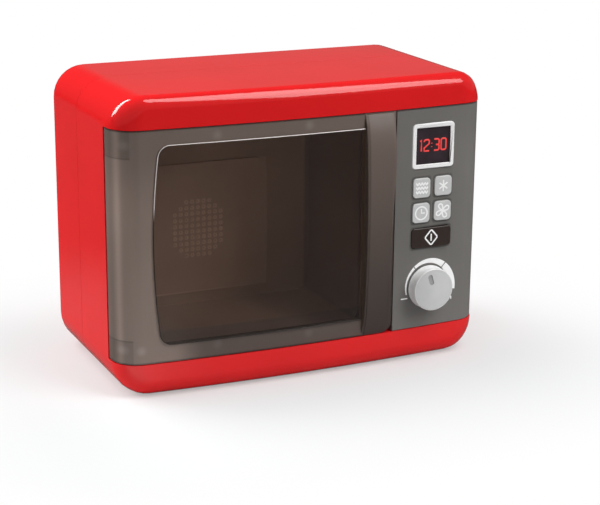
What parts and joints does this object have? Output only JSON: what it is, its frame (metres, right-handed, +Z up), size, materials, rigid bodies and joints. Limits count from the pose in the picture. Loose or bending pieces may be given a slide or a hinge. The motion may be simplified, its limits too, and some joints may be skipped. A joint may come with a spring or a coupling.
{
  "type": "toy microwave",
  "caption": "Pretend-play microwave with a glossy red casing, a smoky swinging door with a grip bar, a grey key panel with a 12:30 display and a turning silver timer knob",
  "frame": {"origin": "centre of the casing's flat base, on the surface it stands on", "axes": "X along the width with the door hinge at -X, -Y out of the front, +Z up"},
  "size_m": [0.27, 0.1535, 0.2021],
  "materials": {
    "red_plastic": "glossy red moulded plastic",
    "smoky_plastic": "smoky translucent plastic, frosted round a clear window",
    "grey_panel_plastic": "satin dark grey plastic",
    "dark_plastic": "near-black plastic",
    "liner_plastic": "satin warm grey plastic",
    "white_plastic": "off-white plastic",
    "screen_plastic": "gloss black with red digits",
    "key_plastic": "light grey plastic with white symbols",
    "start_key_plastic": "gloss near-black plastic with a white symbol",
    "knob_plastic": "silver-grey satin plastic",
    "mat_rubber": "grey silicone rubber",
    "board_laminate": "green circuit board laminate",
    "steel": "plated steel",
    "speaker_paper": "black paper cone",
    "lamp_plastic": "warm lamp lens",
    "cell_label": "plain dark cell sleeve",
    "lead_insulation": "red insulated lead"
  },
  "bodies": {
    "casing": {"battery_cell_1": "cell_label", "battery_cell_2": "cell_label", "battery_cell_3": "cell_label", "battery_cover": "red_plastic", "battery_lead": "lead_insulation", "battery_tray": "dark_plastic", "board_screw_1": "steel", "board_screw_2": "steel", "casing_screw_1": "steel", "casing_screw_2": "steel", "casing_screw_3": "steel", "casing_screw_4": "steel", "catch_clip": "dark_plastic", "cavity_lamp": "lamp_plastic", "cavity_liner": "liner_plastic", "click_spring": "steel", "control_panel": "grey_panel_plastic", "cover_screw": "steel", "display_frame": "white_plastic", "display_screen": "screen_plastic", "front_casing": "red_plastic", "key_board": "board_laminate", "key_mat": "mat_rubber", "liner_screw_1": "steel", "liner_screw_2": "steel", "liner_screw_3": "steel", "liner_screw_4": "steel", "lower_contact_strip": "steel", "panel_screw_1": "steel", "panel_screw_2": "steel", "rear_casing": "red_plastic", "shaft_bracket": "dark_plastic", "sound_chip": "dark_plastic", "speaker_basket": "steel", "speaker_cone": "speaker_paper", "speaker_lead": "lead_insulation", "speaker_magnet": "steel", "speaker_retainer": "dark_plastic", "upper_contact_strip": "steel"},
    "door": {"door_shell": "smoky_plastic", "door_inner_frame": "smoky_plastic", "upper_hinge_block": "dark_plastic", "lower_hinge_block": "dark_plastic", "upper_hinge_pin": "steel", "lower_hinge_pin": "steel", "door_catch": "dark_plastic"},
    "timer": {"timer_knob": "knob_plastic", "knob_shaft": "dark_plastic", "click_wheel": "dark_plastic"},
    "waves_key": {"waves_key": "key_plastic"},
    "defrost_key": {"defrost_key": "key_plastic"},
    "clock_key": {"clock_key": "key_plastic"},
    "fan_key": {"fan_key": "key_plastic"},
    "start_key": {"start_key": "start_key_plastic"}
  },
  "joints": [
    {"name": "door_hinge", "type": "hinge", "parent": "casing", "child": "door", "pos_m": [-0.1288, -0.05435, 0.1024], "axis": [0, 0, -1], "range_deg": [0, 100]},
    {"name": "timer_turn", "type": "hinge", "parent": "casing", "child": "timer", "pos_m": [0.0906, -0.069, 0.0538], "axis": [0, 1, 0], "range_deg": [-90, 120]},
    {"name": "waves_press", "type": "slide", "parent": "casing", "child": "waves_key", "axis": [0, 1, 0], "range_m": [0, 0.0012], "stiffness_N_per_m": 400},
    {"name": "defrost_press", "type": "slide", "parent": "casing", "child": "defrost_key", "axis": [0, 1, 0], "range_m": [0, 0.0012], "stiffness_N_per_m": 400},
    {"name": "clock_press", "type": "slide", "parent": "casing", "child": "clock_key", "axis": [0, 1, 0], "range_m": [0, 0.0012], "stiffness_N_per_m": 400},
    {"name": "fan_press", "type": "slide", "parent": "casing", "child": "fan_key", "axis": [0, 1, 0], "range_m": [0, 0.0012], "stiffness_N_per_m": 400},
    {"name": "start_press", "type": "slide", "parent": "casing", "child": "start_key", "axis": [0, 1, 0], "range_m": [0, 0.0012], "stiffness_N_per_m": 400}
  ]
}
